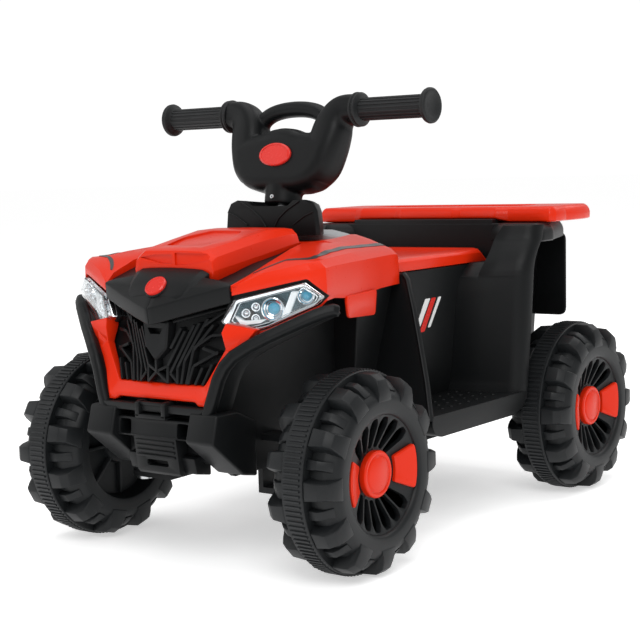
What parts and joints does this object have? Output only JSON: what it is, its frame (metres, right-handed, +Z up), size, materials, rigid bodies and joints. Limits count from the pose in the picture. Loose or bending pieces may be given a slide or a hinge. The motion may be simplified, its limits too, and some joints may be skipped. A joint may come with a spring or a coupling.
{
  "type": "kids quad bike",
  "caption": "Small battery ride-on quad bike with steered front wheels, a driven rear wheel, lift-off seat, foot pedal, switches and a moulded body with footboards.",
  "frame": {"origin": "on the floor, under the middle of the bounding box", "axes": "+Z up from the floor, -Y towards the front bumper, +X towards the rider's left"},
  "size_m": [0.416, 0.656, 0.4714],
  "materials": {
    "red_plastic": "gloss",
    "black_plastic": "satin",
    "wheel_plastic": "satin",
    "grey_panel": "satin",
    "clear_lens": "gloss",
    "bright_reflector": "polished",
    "lamp": "gloss",
    "grip_rubber": "matte",
    "badge_red": "gloss",
    "steel": "brushed",
    "battery_case": "matte",
    "strap_web": "woven",
    "gear_plastic": "satin",
    "button_plastic": "gloss"
  },
  "bodies": {
    "chassis": {"body_tub": "black_plastic", "front_chassis": "black_plastic", "front_cover": "red_plastic", "hood_scoop": "red_plastic", "nose_cover": "black_plastic", "nose_badge": "badge_red", "grille": "black_plastic", "headlight_lenses": "clear_lens", "headlight_reflectors": "bright_reflector", "headlight_bulbs": "lamp", "front_bumper": "black_plastic", "winch": "black_plastic", "fender_guards": "black_plastic", "steering_cowl": "black_plastic", "column_bush": "black_plastic", "dash_panel": "grey_panel", "rear_trim": "red_plastic", "rear_axle": "steel", "kingpin_bolts": "steel", "under_tray": "black_plastic", "tray_screws": "steel", "battery": "battery_case", "battery_strap": "strap_web", "gearbox_case_outer": "black_plastic", "gearbox_case_inner": "black_plastic", "drive_motor": "steel", "pedal_bracket": "black_plastic", "charging_socket": "black_plastic"},
    "steering": {"steering_column": "steel", "handlebar_front": "black_plastic", "handlebar_rear": "black_plastic", "grips": "grip_rubber", "grip_tubes": "steel", "handlebar_badge": "badge_red"},
    "horn_button": {"horn_button": "button_plastic"},
    "music_button": {"music_button": "button_plastic"},
    "knuckle_left": {"knuckle_left": "black_plastic", "stub_axle_left": "steel"},
    "knuckle_right": {"knuckle_right": "black_plastic", "stub_axle_right": "steel"},
    "tie_rod": {"tie_rod": "black_plastic"},
    "reduction_gear": {"reduction_gear": "gear_plastic"},
    "motor_pinion": {"motor_pinion": "gear_plastic"},
    "accelerator_pedal": {"accelerator_pedal": "black_plastic"},
    "power_rocker": {"power_rocker": "black_plastic"},
    "direction_rocker": {"direction_rocker": "black_plastic"},
    "seat": {"seat": "red_plastic"},
    "front_left_wheel": {"front_left_wheel_outer": "wheel_plastic", "front_left_wheel_inner": "wheel_plastic", "front_left_hub_trim": "red_plastic"},
    "front_right_wheel": {"front_right_wheel_outer": "wheel_plastic", "front_right_wheel_inner": "wheel_plastic", "front_right_hub_trim": "red_plastic"},
    "rear_left_wheel": {"rear_left_wheel_outer": "wheel_plastic", "rear_left_wheel_inner": "wheel_plastic", "rear_left_hub_trim": "red_plastic"},
    "rear_right_wheel": {"rear_right_wheel_outer": "wheel_plastic", "rear_right_wheel_inner": "wheel_plastic", "rear_right_hub_trim": "red_plastic", "drive_gear": "gear_plastic"}
  },
  "joints": [
    {"name": "steering_turn", "type": "hinge", "parent": "chassis", "child": "steering", "pos_m": [0, -0.16824, 0.0913], "axis": [0, 0.2419, 0.9703], "range_deg": [-30, 30]},
    {"name": "knuckle_left_turn", "type": "hinge", "parent": "chassis", "child": "knuckle_left", "pos_m": [0.108, -0.22, 0.1], "axis": [0, 0, 1], "range_deg": [-20.5, 20.5]},
    {"name": "knuckle_right_turn", "type": "hinge", "parent": "chassis", "child": "knuckle_right", "pos_m": [-0.108, -0.22, 0.1], "axis": [0, 0, 1], "range_deg": [-20.5, 20.5]},
    {"name": "tie_rod_turn", "type": "hinge", "parent": "knuckle_left", "child": "tie_rod", "pos_m": [0.108, -0.18, 0.0913], "axis": [0, 0, 1], "range_deg": [-20.5, 20.5]},
    {"name": "front_left_roll", "type": "hinge", "parent": "knuckle_left", "child": "front_left_wheel", "pos_m": [0.169, -0.22, 0.1], "axis": [1, 0, 0], "continuous": true},
    {"name": "front_right_roll", "type": "hinge", "parent": "knuckle_right", "child": "front_right_wheel", "pos_m": [-0.169, -0.22, 0.1], "axis": [1, 0, 0], "continuous": true},
    {"name": "rear_left_roll", "type": "hinge", "parent": "chassis", "child": "rear_left_wheel", "pos_m": [0.169, 0.228, 0.1], "axis": [1, 0, 0], "continuous": true},
    {"name": "rear_right_drive", "type": "hinge", "parent": "chassis", "child": "rear_right_wheel", "pos_m": [-0.169, 0.228, 0.1], "axis": [1, 0, 0], "continuous": true},
    {"name": "reduction_spin", "type": "hinge", "parent": "chassis", "child": "reduction_gear", "pos_m": [-0.115, 0.19769, 0.1175], "axis": [1, 0, 0], "continuous": true},
    {"name": "pinion_spin", "type": "hinge", "parent": "chassis", "child": "motor_pinion", "pos_m": [-0.11, 0.17088, 0.14], "axis": [1, 0, 0], "continuous": true},
    {"name": "pedal_press", "type": "hinge", "parent": "chassis", "child": "accelerator_pedal", "pos_m": [-0.128, -0.014, 0.137], "axis": [1, 0, 0], "range_deg": [0, 12], "stiffness_Nm_per_rad": 0.5, "springref_deg": -8.59},
    {"name": "power_tilt", "type": "hinge", "parent": "chassis", "child": "power_rocker", "pos_m": [0.015, -0.0735, 0.324], "axis": [1, 0, 0], "range_deg": [-12, 12]},
    {"name": "direction_tilt", "type": "hinge", "parent": "chassis", "child": "direction_rocker", "pos_m": [-0.015, -0.0735, 0.324], "axis": [1, 0, 0], "range_deg": [-12, 12]},
    {"name": "horn_press", "type": "slide", "parent": "steering", "child": "horn_button", "axis": [0, -0.9703, 0.2419], "range_m": [0, 0.0025], "stiffness_N_per_m": 200, "springref_m": -0.002},
    {"name": "music_press", "type": "slide", "parent": "steering", "child": "music_button", "axis": [0, -0.9703, 0.2419], "range_m": [0, 0.0025], "stiffness_N_per_m": 200, "springref_m": -0.002},
    {"name": "seat_lift", "type": "slide", "parent": "chassis", "child": "seat", "axis": [0, 0, 1], "range_m": [0, 0.08]}
  ],
  "couplings": [
    {"joint": "knuckle_left_turn", "follows": "steering_turn", "ratio": 0.6667},
    {"joint": "knuckle_right_turn", "follows": "steering_turn", "ratio": 0.6667},
    {"joint": "tie_rod_turn", "follows": "steering_turn", "ratio": -0.6667},
    {"joint": "reduction_spin", "follows": "rear_right_drive", "ratio": -3},
    {"joint": "pinion_spin", "follows": "rear_right_drive", "ratio": 9}
  ]
}
